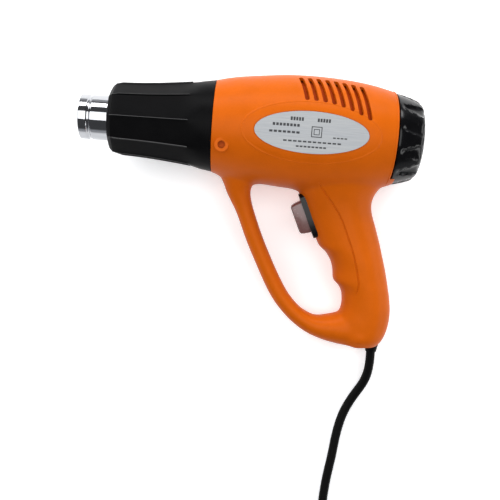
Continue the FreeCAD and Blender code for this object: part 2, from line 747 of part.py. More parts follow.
# ---- Assembly --------------------------------------------------------------
def gun_pieces():
    """Every piece drawn in the gun's frame, by node name."""
    outer, shell = housing_shell()
    return {
        "housing_left": housing_half(outer, shell, -1),
        "housing_right": housing_half(outer, shell, 1),
        "rating_label": rating_label(),
        "heat_shroud": heat_shroud(),
        "nozzle_tube": nozzle_tube(),
        "outlet_guard": outlet_guard(),
        "heat_shield": heat_shield(),
        "shroud_spacer": shroud_spacer(),
        "seal_ring": seal_ring(),
        "mica_sleeve": mica_sleeve(),
        "mica_board_upright": mica_board(0, True),
        "mica_board_level": mica_board(90, False),
        "heating_coil": heating_coil(),
        "mica_disc_front": end_disc(-84.0),
        "mica_disc_rear": end_disc(-3.6),
        "thermal_cutout": thermal_cutout(),
        "thermal_fuse": thermal_fuse(),
        "air_duct": air_duct(),
        "motor_can": motor_can(),
        "motor_magnets": motor_magnets(),
        "motor_bearing_front": motor_bearing(MOTOR_FRONT - 3),
        "motor_bearing_rear": motor_bearing(MOTOR_REAR + 4),
        "motor_end_bell": motor_end_bell(),
        "motor_brushes": motor_brushes(),
        "motor_shaft": motor_shaft(),
        "fan_impeller": fan_impeller(),
        "armature_core": armature_core(),
        "armature_windings": armature_windings(),
        "commutator": commutator(),
        "rectifier_board": rectifier_board(),
        "rectifier_diodes": rectifier_diodes(),
        "capacitor": capacitor(),
        "motor_leads": motor_leads(),
        "rear_cap": rear_cap(),
        "switch_bezel": switch_bezel(),
        "switch_rocker": switch_rocker(),
        "switch_pin": switch_pin(),
        "switch_body": switch_body(),
        "switch_terminals": switch_terminals(),
        "strain_relief": strain_relief(),
        "cord_inner_end": cord_inner_end(),
        "cord_clamp": cord_clamp(),
        "clamp_screws": clamp_screws(),
        "supply_wires": supply_wires(),
        "housing_screws": housing_screws(),
        "shroud_screws": shroud_screws(),
    }


def cord_pieces():
    """The cord and what is on it, drawn where they lie."""
    pieces = {"cord_coil": cord_coil(), "coil_tie": coil_tie(), "plug_body": plug_body(),
              "plug_blades": plug_blades()}
    for name, route in (("power_cord", CORD_ROUTE), ("cord_tail", TAIL_ROUTE)):
        solid, length = tube(route, CORD_R)
        pieces[name] = solid
        radii = [round(arc_radius(*three), 1) for three in zip(route, route[1:], route[2:])]
        ratio = solid.Volume / (math.pi * CORD_R ** 2 * length)
        print(name, "length", round(length, 1), "radii", radii, "volume ratio", round(ratio, 4))
    return pieces


def main():
    pieces = {name: lay_down(shape) for name, shape in gun_pieces().items()}
    pieces.update(cord_pieces())
    for name, shape in pieces.items():
        if not shape.isValid() or not shape.Solids:
            print("WARNING", name, "valid", shape.isValid(), "solids", len(shape.Solids))
        shape.exportStep("parts/" + name + ".step")
    print(len(pieces), "nodes")


main()
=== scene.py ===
"""A corded heat gun: moulded orange halves, ribbed nose and cap, steel outlet tube, switch and mains cord."""

import json
import math

import bmesh
import bpy
from mathutils import Matrix, Vector
from mathutils.bvhtree import BVHTree


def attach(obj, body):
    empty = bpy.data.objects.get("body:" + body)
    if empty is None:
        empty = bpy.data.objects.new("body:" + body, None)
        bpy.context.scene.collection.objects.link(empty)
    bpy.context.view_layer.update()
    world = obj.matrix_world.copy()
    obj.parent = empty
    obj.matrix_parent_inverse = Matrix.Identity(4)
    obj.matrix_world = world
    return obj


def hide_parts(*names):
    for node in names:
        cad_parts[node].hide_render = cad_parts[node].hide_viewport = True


bl_info = {
    "name": "Heat Gun",
    "version": (1, 0, 0),
    "blender": (4, 5, 0),
    "location": "3D View > Sidebar > Heat Gun",
    "description": "Models and finishes a corded heat gun round its mechanical frame",
    "category": "Add Mesh",
}

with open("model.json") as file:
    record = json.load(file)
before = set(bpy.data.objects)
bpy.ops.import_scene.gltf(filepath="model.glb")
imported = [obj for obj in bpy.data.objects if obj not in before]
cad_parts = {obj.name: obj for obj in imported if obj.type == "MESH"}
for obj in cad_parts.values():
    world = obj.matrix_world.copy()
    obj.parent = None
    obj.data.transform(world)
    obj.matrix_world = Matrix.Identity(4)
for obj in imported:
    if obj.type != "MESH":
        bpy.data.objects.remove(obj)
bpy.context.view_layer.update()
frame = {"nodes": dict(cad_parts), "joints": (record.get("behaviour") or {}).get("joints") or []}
JOINTS = {joint["name"]: joint for joint in frame["joints"]}

# The gun's own axes: x to the rear along the barrel, y to its right, z up. It lies on its right side.
BARREL_MID = Vector(JOINTS["fan_spin"]["pos_m"])
TO_RIGHT = Vector(JOINTS["rocker_tilt"]["axis"]).normalized()
TO_REAR = Vector((1, 0, 0))
LAID_DOWN = (
    Matrix.Translation(BARREL_MID)
    @ Matrix((TO_REAR, TO_RIGHT, TO_REAR.cross(TO_RIGHT))).transposed().to_4x4()
    @ Matrix.Scale(0.001, 4)
)

# Everything below is in millimetres on the gun's axes until it is laid down.
NOZZLE_TIP, NOZZLE_R = -98.0, 16.5
BARREL_LINE = [(-4, 32.2), (0, 33.6), (14, 36.7), (31, 38.9), (52, 41.0), (73, 41.4), (95, 40.3), (114, 37.9),
               (131.5, 33.8), (135, 32.6)]
SIDE_FLAT = 38.5
HANDLE_LINE = [(-18, 60, 133, 25), (-26, 62, 131, 24), (-41, 66.5, 123, 20.5), (-52, 70.5, 121.6, 19),
               (-66, 76.5, 126.4, 18.2), (-76, 81.4, 130, 18), (-82.5, 84.8, 132.1, 18),
               (-87, 90.2, 133.5, 18),
               (-93, 94.4, 135.4, 18), (-100, 96.8, 137.5, 17.8), (-107.5, 97.9, 139.5, 17.6),
               (-112, 102.4, 140.6, 17.5), (-118, 105.4, 142, 17.3), (-129, 106.5, 143.8, 17.2),
               (-141, 106, 143.4, 17),
               (-151, 106, 140.6, 16.4), (-157.5, 109, 136, 12.5)]
GUARD_LINE = [(19, -29, 13, 14), (20.2, -42, 9.8, 11), (23, -51, 7.9, 9.3), (27.2, -61, 6.6, 8.6),
              (35.5, -80.7, 6.4, 8.4), (45.3, -100.4, 6.3, 8.4), (53.8, -115.9, 6.4, 8.4),
              (61.4, -126.9, 6.3, 8.4),
              (72.4, -137.6, 6.5, 8.6), (85.8, -144.6, 7.9, 9.6), (101, -145.9, 11.2, 12.6),
              (118, -146.2, 11.3, 14)]
LABEL_MID, LABEL_LONG, LABEL_HIGH = (69.2, -38.5, 0), 39.5, 14.3
SWITCH_MID, SWITCH_DOWN, SWITCH_OUT = Vector((74.4, 0, -60.6)), Vector((0.409, 0, -0.9125)), Vector((-0.9125,
                                                                                                     0,
                                                                                                     -0.409))
BOSS = (7.7, -12.6)
SCREW_WELLS = [(23, -52, 4.0, 3.6), (54, -116, 3.6, 3.4), (125, -143, 9.0, 4.0), (122, -80, 9.0, 4.0),
               (112, -47, 9.0, 4.0), (30, 33.4, 10.0, 3.6), (117, 29.5, 10.0, 3.6)]
CREASE_LINE = [(78, -34), (82.2, -39.2), (90.8, -49.7), (97, -58.3), (104, -72.9), (109.6, -86.5),
               (113.8, -100.4),
               (115.4, -109.1), (114, -118)]
CONTOUR = (48.5, 21.0)
CORD_EXIT = (132.5, 0, -156.8)

# The finish of each mechanical part that keeps its own shape.
INNER_FINISHES = {
    "mica": ("mica_sleeve", "mica_board_upright", "mica_board_level", "mica_disc_front", "mica_disc_rear"),
    "resistance_wire": ("heating_coil",),
    "plated_steel": ("outlet_guard",),
    "sheet_steel": ("heat_shield",),
    "painted_steel": ("motor_can",),
    "ceramic_fibre": ("shroud_spacer", "seal_ring"),
    "duct_plastic": ("air_duct", "motor_end_bell", "cord_clamp", "fan_impeller", "switch_body"),
    "magnet": ("motor_magnets",),
    "bronze": ("motor_bearing_front", "motor_bearing_rear", "commutator", "armature_windings",
               "switch_terminals",
               "plug_blades"),
    "carbon": ("motor_brushes",),
    "steel": ("motor_shaft", "armature_core", "housing_screws", "shroud_screws", "clamp_screws", "switch_pin",
              "thermal_cutout"),
    "board": ("rectifier_board",),
    "components": ("rectifier_diodes", "capacitor", "thermal_fuse"),
    "wire": ("motor_leads", "supply_wires"),
    "cord_rubber": ("strain_relief", "cord_inner_end", "plug_body"),
    "tie_strap": ("coil_tie",),
}

# The cord's route over the table, in metres on the row's axes, and its coil.
CORD_ROUTE = [(0.1065, -0.10058, 0.0153), (0.1072, -0.1125, 0.0132), (0.1045, -0.126, 0.0092),
              (0.0965, -0.1395, 0.0055), (0.09, -0.1535, 0.0038), (0.0863, -0.1695, 0.0035),
              (0.0843, -0.1875, 0.0035), (0.081, -0.207, 0.0035), (0.0793, -0.228, 0.0036),
              (0.0797, -0.252, 0.0041)]
RING_MID = (0.037, -0.276)
TAIL_ROUTE = [(0.025, -0.3183, 0.0169), (0.0125, -0.3191, 0.0123), (0.001, -0.319, 0.0094)]


def linear(hex_colour):
    """An sRGB hex colour as linear light, opaque."""
    parts = [int(hex_colour[i : i + 2], 16) / 255 for i in (1, 3, 5)]
    return tuple(p / 12.92 if p <= 0.04045 else ((p + 0.055) / 1.055) ** 2.4 for p in parts) + (1.0,)


class HeatGunColours(bpy.types.PropertyGroup):
    """The colours of the gun's main finishes."""

    housing: bpy.props.FloatVectorProperty(
        name="Housing", description="Moulded ABS of the two halves", subtype="COLOR", size=4, min=0, max=1,
        default=linear("#CA5D0A"))
    trim: bpy.props.FloatVectorProperty(
        name="Trim", description="Glass-filled nylon of the nose and the cap", subtype="COLOR", size=4, min=0,
        max=1,
        default=linear("#0D0D0E"))
    button: bpy.props.FloatVectorProperty(
        name="Button", description="Smoky tinted plastic of the switch button", subtype="COLOR", size=4,
        min=0, max=1,
        default=linear("#7E5855"))
    cord: bpy.props.FloatVectorProperty(
        name="Cord", description="Rubber of the mains cord, its boot and its plug", subtype="COLOR", size=4,
        min=0,
        max=1, default=linear("#080808"))
    floor: bpy.props.FloatVectorProperty(
        name="Floor", description="Plain table that the gun lies on", subtype="COLOR", size=4, min=0, max=1,
        default=linear("#F4F4F4"))


class HeatGunSizes(bpy.types.PropertyGroup):
    """The sizes that a maker would change."""

    wall: bpy.props.FloatProperty(
        name="Wall", description="Thickness of the moulded housing", default=0.0024, min=0.001, max=0.004,
        unit="LENGTH")
    parting: bpy.props.FloatProperty(
        name="Parting Gap", description="Gap between the two halves", default=0.0003, min=0, max=0.001,
        unit="LENGTH")
    fillet: bpy.props.FloatProperty(
        name="Fillet", description="How far the blend between barrel, grip and guard reaches", default=0.011,
        min=0.002, max=0.03, unit="LENGTH")
    grain: bpy.props.FloatProperty(
        name="Skin", description="Size of the cells the half shells are meshed with", default=0.0011,
        min=0.0008,
        max=0.004, unit="LENGTH")
    shroud_facets: bpy.props.IntProperty(
        name="Nose Facets", description="Flats round the nose shroud", default=10, min=6, max=24)
    cap_flutes: bpy.props.IntProperty(
        name="Cap Flutes", description="Wedge-shaped flutes round the rear cap", default=12, min=6, max=32)
    cord_across: bpy.props.FloatProperty(
        name="Cord Across", description="Diameter of the mains cord", default=0.007, min=0.004, max=0.012,
        unit="LENGTH")


# ---------------------------------------------------------------- modelling helpers


def flow(stations, parts):
    """A smooth run of values through every station, with that many steps from one to the next."""
    rows = [stations[0], *stations, stations[-1]]
    run = []
    for four in zip(rows, rows[1:], rows[2:], rows[3:]):
        for i in range(parts):
            t = i / parts
            run.append(tuple(
                0.5 * (2 * q + (r - p) * t + (2 * p - 5 * q + 4 * r - s) * t * t + (3 * q - p - 3 * r + s)
                       * t**3)
                for p, q, r, s in zip(*four)))
    return run + [tuple(stations[-1])]


def basis(mid, along, out):
    """A place with its x along one direction and its z along another, square to it."""
    along, out = Vector(along).normalized(), Vector(out).normalized()
    return Matrix.Translation(mid) @ Matrix((along, out.cross(along), out)).transposed().to_4x4()


def lathe(profile, steps=96):
    """Turns (x, radius) points about the barrel's axis, once a profile that ends off the axis is closed."""
    bm = bmesh.new()
    points = [bm.verts.new((x, 0, r)) for x, r in profile]
    edges = [bm.edges.new(pair) for pair in zip(points, points[1:])]
    if profile[0][1] > 0:
        edges.append(bm.edges.new((points[-1], points[0])))
    bmesh.ops.spin(bm, geom=points + edges, cent=(0, 0, 0), axis=(1, 0, 0), angle=math.tau, steps=steps,
                   use_merge=True)
    bmesh.ops.remove_doubles(bm, verts=bm.verts, dist=1e-4)
    bmesh.ops.recalc_face_normals(bm, faces=bm.faces)
    return bm


def loft(places, sides=64):
    """Skins a row of ovals, each given as the place of a unit circle."""
    bm = bmesh.new()
    before = None
    for i, place in enumerate(places):
        ring = bmesh.ops.create_circle(bm, segments=sides, radius=1, matrix=place,
                                       cap_ends=i in (0, len(places) - 1))
        edges = list({edge for vert in ring["verts"] for edge in vert.link_edges})
        if before:
            bmesh.ops.bridge_loops(bm, edges=before + edges)
        before = edges
    bmesh.ops.recalc_face_normals(bm, faces=bm.faces)
    return bm


def pad(long, wide, deep, corner, place, sides=32):
    """A block with round corners: long along the place's x, wide along its y, deep along its z."""
    bm = bmesh.new()
    bmesh.ops.create_cone(bm, cap_ends=True, segments=sides, radius1=corner, radius2=corner, depth=deep,
                          matrix=Matrix.Rotation(math.pi / sides, 4, "Z"))
    for vert in bm.verts:
        vert.co.x += math.copysign(long / 2 - corner, vert.co.x)
        vert.co.y += math.copysign(wide / 2 - corner, vert.co.y)
    bm.transform(place)
    return bm


def rod(across, long, x, y, z, sides=32):
    """A round bar across the gun, with its middle at a point."""
    return pad(across, across, long, across / 2, basis((x, y, z), (1, 0, 0), (0, 1, 0)), sides)


def oval(long, high, deep, y, out, sides):
    """An upright oval plate on the label's middle, facing out to one side."""
    bm = bmesh.new()
    bmesh.ops.create_cone(bm, cap_ends=True, segments=sides, radius1=1, radius2=1, depth=deep)
    bm.transform(basis((LABEL_MID[0], y, 0), (1, 0, 0), (0, out, 0)) @ Matrix.Diagonal((long, high, 1, 1)))
    return bm


def joined(*parts):
    """Several bmeshes as one."""
    whole = parts[0]
    for part in parts[1:]:
        mesh = bpy.data.meshes.new("part")
        part.to_mesh(mesh)
        part.free()
        whole.from_mesh(mesh)
        bpy.data.meshes.remove(mesh)
    return whole


def as_object(bm, name="work"):
    """The bmesh as an object in the scene. The bmesh is used up."""
    mesh = bpy.data.meshes.new(name)
    bm.to_mesh(mesh)
    bm.free()
    obj = bpy.data.objects.new(name, mesh)
    bpy.context.scene.collection.objects.link(obj)
    return obj


def applied(obj):
    """The object's shape with its modifiers made real, as a bmesh. The object is used up."""
    mesh = bpy.data.meshes.new_from_object(obj.evaluated_get(bpy.context.evaluated_depsgraph_get()))
    bm = bmesh.new()
    bm.from_mesh(mesh)
    old = obj.data
    bpy.data.objects.remove(obj)
    (bpy.data.curves if isinstance(old, bpy.types.Curve) else bpy.data.meshes).remove(old)
    bpy.data.meshes.remove(mesh)
    return bm


def combine(first, second, operation):
    """One solid from two closed ones, which are used up."""
    body, tool = as_object(first), as_object(second)
    cut = body.modifiers.new("Boolean", "BOOLEAN")
    cut.object, cut.operation, cut.solver = tool, operation, "MANIFOLD"
    result = applied(body)
    mesh = tool.data
    bpy.data.objects.remove(tool)
    bpy.data.meshes.remove(mesh)
    if not result.faces:
        raise RuntimeError(f"nothing left after {operation}")
    return result


def bead(skin, path, side, radius, sunk, closed=False):
    """A round bead that follows the skin along (x, z) points on one side, its middle sunk below the skin.
    An open one's ends rise out of the skin, so that it fades."""
    curve = bpy.data.curves.new("bead", "CURVE")
    curve.dimensions = "3D"
    curve.bevel_depth, curve.bevel_resolution, curve.use_fill_caps = radius, 3, not closed
    spline = curve.splines.new("POLY")
    spline.points.add(len(path) - 1)
    for i, (x, z) in enumerate(path):
        place, normal = skin.ray_cast(Vector((x, side * 80, z)), Vector((0, -side, 0)))[:2]
        end = 0 if closed else max(0.0, 1 - min(i, len(path) - 1 - i) / 8)
        spline.points[i].co = (*(place - normal * (sunk - end * (radius + sunk) * 1.05)), 1)
    spline.use_cyclic_u = closed
    obj = bpy.data.objects.new("bead", curve)
    bpy.context.scene.collection.objects.link(obj)
    bm = applied(obj)
    bmesh.ops.remove_doubles(bm, verts=bm.verts, dist=1e-4)
    bmesh.ops.recalc_face_normals(bm, faces=bm.faces)
    return bm


def finished(name, bm, body, slot, *materials, sharp=35.0, bevel=0.0, stands_for=()):
    """Lays a shape down as a piece of the model, smooth but for its sharp edges, riding on a body."""
    bm.transform(LAID_DOWN)
    for face in bm.faces:
        face.smooth = True
    obj = as_object(bm, name)
    obj.data.set_sharp_from_angle(angle=math.radians(sharp))
    for material in materials:
        obj.data.materials.append(material)
    if bevel:
        edge = obj.modifiers.new("Bevel", "BEVEL")
        edge.width, edge.segments = bevel, 3
        edge.limit_method, edge.angle_limit = "ANGLE", math.radians(sharp)
        edge.harden_normals = True
    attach(obj, body)
    if stands_for:
        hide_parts(*stands_for)
    return obj


# ---------------------------------------------------------------- materials


def add(tree, kind, sockets=(), **settings):
    """Adds a node: its own settings, and for its sockets a value or the output that feeds them."""
    node = tree.nodes.new(kind)
    for key, value in settings.items():
        setattr(node, key, value)
    for key, value in dict(sockets).items():
        if isinstance(value, bpy.types.NodeSocket):
            tree.links.new(value, node.inputs[key])
        else:
            node.inputs[key].default_value = value
    return node


def material(name, light, dark, grain, rough, metallic=0.0, ior=None, height=0.0, stretch=(1, 1, 1),
             coat=0.0, **more):
    """A material that wanders between two colours over `grain` millimetres. Its roughness runs over the pair
    `rough`, and its surface rises `height` millimetres, both in step with the same grain."""
    made = bpy.data.materials.new(name)
    made.use_nodes = True
    tree = made.node_tree
    tree.nodes.clear()
    where = add(tree, "ShaderNodeTexCoord").outputs["Object"]
    scaled = add(tree, "ShaderNodeMapping", {"Vector": where, "Scale": stretch}).outputs[0]
    fine = add(tree, "ShaderNodeTexNoise",
               {"Vector": scaled, "Scale": 1000 / grain, "Detail": 3.0}).outputs["Fac"]
    broad = add(tree, "ShaderNodeTexNoise", {"Vector": scaled, "Scale": 1000 / (grain * 14), "Detail": 2.0})
    both = add(tree, "ShaderNodeMath", {0: fine, 1: broad.outputs["Fac"]}, operation="ADD").outputs[0]
    tone = add(tree, "ShaderNodeMapRange", {"Value": both, "From Min": 0.65, "From Max": 1.35})
    colour = add(tree, "ShaderNodeMix", {0: tone.outputs[0], 6: dark, 7: light}, data_type="RGBA").outputs[2]
    polish = add(tree, "ShaderNodeMapRange",
                 {"Value": both, "From Min": 0.6, "From Max": 1.4, "To Min": rough[0],
                                              "To Max": rough[1]}).outputs[0]
    sockets = {"Base Color": colour, "Roughness": polish, "Metallic": metallic, "Coat Weight": coat, **more}
    if ior:
        sockets["IOR"] = ior
    if height:
        sockets["Normal"] = add(tree, "ShaderNodeBump", {"Height": fine, "Distance": height / 1000,
                                                         "Strength": 1.0}).outputs[0]
    shader = add(tree, "ShaderNodeBsdfPrincipled", sockets)
    add(tree, "ShaderNodeOutputMaterial", {"Surface": shader.outputs[0]})
    return made


def make_materials():
    """Every finish of the gun by its slot. Colours vary by a few percent, as moulded and pressed parts do."""
    hues = bpy.context.scene.heat_gun_colours
    orange, trim, button, cord = tuple(hues.housing), tuple(hues.trim), tuple(hues.button), tuple(hues.cord)
    deep = tuple(c * 0.9 for c in orange[:3]) + (1,)
    return {
        # ABS, injection moulded in a spark-eroded tool: an even satin skin with a fine pebble. The real
        # pebble is about 0.3 mm; it is drawn at 0.8 mm so that it shows.
        "orange_abs": material("moulded_abs_orange", orange, deep, 0.8, (0.32, 0.42), ior=1.54, height=0.012,
                               **{"Specular IOR Level": 0.055}),
        # ABS darkened to a red-brown for the insert behind the air slots: the darker colour is painted shade,
        # standing in for the shade deep inside the slots.
        "slot_shade_abs": material("moulded_abs_slot_shade", linear("#A63C0A"), linear("#8F3209"), 0.8, (0.5, 0.6),
                             ior=1.54,
                             height=0.012, **{"Specular IOR Level": 0.05}),
        # Glass-filled nylon, moulded: dark, with a slightly dry satin.
        "black_nylon": material("moulded_nylon_black", trim, linear("#0A0A0B"), 0.7, (0.34, 0.44), ior=1.53,
                                height=0.008, **{"Specular IOR Level": 0.03}),
        # ABS from a polished tool: the same black, but it mirrors the room softly.
        "black_gloss": material("polished_abs_black", trim, linear("#08080A"), 6, (0.13, 0.18), ior=1.54,
                                **{"Specular IOR Level": 0.22}),
        # Low-carbon steel, drawn and bright chromium plated: a mirror with faint draw lines along the tube.
        "plated_steel": material("chromium_plated_steel", linear("#B9BABD"), linear("#A9ABAF"), 3,
                                 (0.05, 0.1),
                                 metallic=1.0, stretch=(0.15, 1, 1)),
        # Aluminium foil under a clear lacquer: soft silver, brushed along its length.
        "label_foil": material("lacquered_aluminium_foil", linear("#9A9C9D"), linear("#818488"), 0.9,
                               (0.34, 0.5),
                               metallic=0.75, stretch=(0.05, 1, 1), height=0.003),
        # Screen-printed ink: flat charcoal.
        "print_ink": material("screen_printed_ink", linear("#2A2B30"), linear("#1C1D21"), 0.6, (0.5, 0.65),
                              ior=1.5,
                              height=0.002),
        # Polycarbonate with a smoky tint: glossy, and light sinks a little way into it.
        "smoke_plastic": material("tinted_polycarbonate", button, linear("#6B4744"), 2.5, (0.2, 0.32),
                                  ior=1.585,
                                  height=0.004, coat=0.3),
        # Phlogopite mica sheet, pressed: pale brown with glittering flakes.
        "mica": material("pressed_mica", linear("#B79F7E"), linear("#8C7355"), 1.6, (0.25, 0.6), ior=1.58,
                         height=0.02),
        # Nickel-chrome resistance wire, drawn and oxidised by heat.
        "resistance_wire": material("nichrome_wire", linear("#8A8079"), linear("#5B5550"), 0.8, (0.35, 0.55),
                                    metallic=1.0, height=0.01),
        # Zinc-plated sheet steel: pale grey with a fine spangle.
        "sheet_steel": material("zinc_plated_steel", linear("#A9ADB2"), linear("#8B9097"), 2.2, (0.25, 0.42),
                                metallic=1.0, height=0.004),
        # Sheet steel, dip painted: a thin dull umber.
        "painted_steel": material("dip_painted_steel", linear("#5A2A14"), linear("#43200F"), 2.0, (0.6, 0.75),
                                  ior=1.5,
                                  height=0.01),
        # Ceramic fibre board: chalky white, quite rough.
        "ceramic_fibre": material("ceramic_fibre", linear("#D8D4C8"), linear("#B8B2A2"), 1.2, (0.8, 0.95),
                                  ior=1.5,
                                  height=0.05),
        # Phenolic and nylon inner mouldings.
        "duct_plastic": material("moulded_phenolic", linear("#2B2724"), linear("#1C1917"), 1.0, (0.4, 0.6),
                                 ior=1.56,
                                 height=0.015),
        # Sintered ferrite: matt charcoal with a fine sandy grain.
        "magnet": material("sintered_ferrite", linear("#3A3B3E"), linear("#28292B"), 0.6, (0.6, 0.8), ior=1.7,
                           height=0.02),
        # Copper alloys, turned, stamped or drawn.
        "bronze": material("turned_brass", linear("#C79A55"), linear("#A67B3C"), 0.9, (0.22, 0.4),
                           metallic=1.0,
                           stretch=(1, 0.2, 1), height=0.004),
        # Pressed carbon: almost black, with a graphite sheen.
        "carbon": material("pressed_carbon", linear("#26262A"), linear("#161618"), 0.5, (0.45, 0.65), ior=1.8,
                           height=0.01),
        # Machined steel, lightly oiled.
        "steel": material("machined_steel", linear("#B4B6BA"), linear("#94979C"), 0.7, (0.2, 0.34),
                          metallic=1.0,
                          stretch=(0.2, 1, 1), height=0.004),
        # Phenolic paper circuit board.
        "board": material("phenolic_paper_board", linear("#A5703A"), linear("#7E5228"), 0.9, (0.45, 0.65),
                          ior=1.54,
                          height=0.01),
        # Epoxy-coated components.
        "components": material("epoxy_coated", linear("#2C3E63"), linear("#1E2B46"), 1.5, (0.25, 0.42),
                               ior=1.55,
                               height=0.01),
        # Silicone-insulated wire.
        "wire": material("silicone_insulated_wire", linear("#A8231D"), linear("#7E1813"), 1.2, (0.4, 0.55),
                         ior=1.43,
                         height=0.01),
        # Natural and chloroprene rubber, extruded: dull black with a faint drag along it.
        "cord_rubber": material("extruded_rubber", cord, linear("#050505"), 1.0, (0.5, 0.64), ior=1.52,
                                height=0.015,
                                **{"Specular IOR Level": 0.08}),
        # Hook-and-loop strap: knitted black nylon.
        "tie_strap": material("knitted_nylon_strap", linear("#1B1B1D"), linear("#0B0B0C"), 0.6, (0.75, 0.95),
                              ior=1.53,
                              height=0.08),
    }


FINISHES = {}


def finish(slot):
    """The material of a slot, made once."""
    if not FINISHES:
        FINISHES.update(make_materials())
    return FINISHES[slot]


# ---------------------------------------------------------------- operators


class HEATGUN_OT_stage(bpy.types.Operator):
    """Lays the pale floor, hangs the soft lights and sets the camera square over the gun"""

    bl_idname = "heatgun.stage"
    bl_label = "Stage"

    def execute(self, context):
        scene = context.scene
        scene.view_settings.view_transform = "Standard"
        bm = bmesh.new()
        bmesh.ops.create_grid(bm, x_segments=2, y_segments=2, size=20)
        floor = as_object(bm, "floor")
        # Matt laminate: an even white with a hardly visible mottle.
        floor.data.materials.append(material("matt_laminate_white", tuple(scene.heat_gun_colours.floor),
                                             linear("#EFEFEF"), 9, (0.6, 0.7), ior=1.5,
                                             **{"Emission Color": linear("#F6F8FA"),
                                                "Emission Strength": 0.42}))
        world = bpy.data.worlds.new("studio")
        world.use_nodes = True
        # A pale wall all round that ends a little above the table, under a dim ceiling.
        tree = world.node_tree
        tree.nodes.clear()
        up = add(tree, "ShaderNodeSeparateXYZ",
                 {0: add(tree, "ShaderNodeTexCoord").outputs["Object"]}).outputs[2]
        glow = add(tree, "ShaderNodeMapRange", {"Value": up, "From Min": 0.14, "From Max": 0.3, "To Min": 0.6,
                                                "To Max": 0.1}).outputs[0]
        wall = add(tree, "ShaderNodeBackground", {"Color": linear("#EEF0F4"), "Strength": glow})
        add(tree, "ShaderNodeOutputWorld", {"Surface": wall.outputs[0]})
        scene.world = world
        for name, spot, aim, size, power in (
            ("key_softbox", (-0.2, 0.88, 0.58), (-0.05, 0.04, 0.03), (1.9, 0.34), 13.5),
            ("overhead_softbox", (-0.22, 0.02, 0.95), (-0.22, 0.05, 0.04), (1.7, 0.66), 9.6),
            ("side_softbox", (0.85, -0.1, 0.27), (0.1, -0.08, 0.02), (1.0, 0.22), 2.4),
        ):
            lamp = bpy.data.lights.new(name, "AREA")
            lamp.shape, lamp.size, lamp.size_y, lamp.energy = "RECTANGLE", *size, power
            held = bpy.data.objects.new(name, lamp)
            held.location = spot
            held.rotation_euler = (Vector(aim) - Vector(spot)).to_track_quat("-Z", "Y").to_euler()
            held.visible_camera = False
            scene.collection.objects.link(held)
        lens = bpy.data.cameras.new("camera")
        lens.lens = 48.6
        lens.clip_start = 0.01
        eye = bpy.data.objects.new("camera", lens)
        eye.location = (0.0071, -0.0295, 0.5404)
        eye.rotation_euler = (0, 0, math.radians(4.365))
        scene.collection.objects.link(eye)
        scene.camera = eye
        return {"FINISHED"}


class HEATGUN_OT_cord(bpy.types.Operator):
    """Runs the mains cord from the handle over the table into a tied coil and ends it in its plug"""

    bl_idname = "heatgun.cord"
    bl_label = "Mains Cord"

    def execute(self, context):
        across = context.scene.heat_gun_sizes.cord_across
        points = list(CORD_ROUTE)
        # Three turns on the table from the outside in, three above them from the inside out, and a quarter.
        # Each turn keeps its circle and steps to the next one near its end, beside the turns it passes.
        steps = 18
        radii = [0.0425, 0.0355, 0.0285, 0.0285, 0.0355, 0.0425, 0.0425]
        heights = [0.0043, 0.0043, 0.0043, 0.0113, 0.0113, 0.0113, 0.0183]
        for step in range(6 * steps + steps // 4 + 1):
            turn, part = divmod(step / steps, 1.0)
            turn = min(int(turn), 6)
            after = min(turn + 1, 6)
            climbs = heights[after] > heights[turn]
            blend = (part - 0.62) / 0.22 if climbs else (part - 0.82) / 0.18
            blend = max(0.0, min(1.0, blend))
            blend = blend * blend * (3 - 2 * blend)
            r = radii[turn] + (radii[after] - radii[turn]) * blend
            z = heights[turn] + (heights[after] - heights[turn]) * blend
            angle = -math.tau * step / steps
            points.append((RING_MID[0] + r * math.cos(angle), RING_MID[1] + r * math.sin(angle), z))
        points += TAIL_ROUTE
        curve = bpy.data.curves.new("mains_cord", "CURVE")
        curve.dimensions = "3D"
        curve.bevel_depth, curve.bevel_resolution = across / 2, 5
        curve.resolution_u, curve.use_fill_caps = 6, True
        spline = curve.splines.new("NURBS")
        spline.points.add(len(points) - 1)
        for point, place in zip(spline.points, points):
            point.co = (*place, 1)
        spline.use_endpoint_u = True
        spline.order_u = 3
        curve.materials.append(finish("cord_rubber"))
        cord = bpy.data.objects.new("mains_cord", curve)
        context.scene.collection.objects.link(cord)
        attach(cord, "gun")
        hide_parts("power_cord", "cord_coil", "cord_tail")
        return {"FINISHED"}


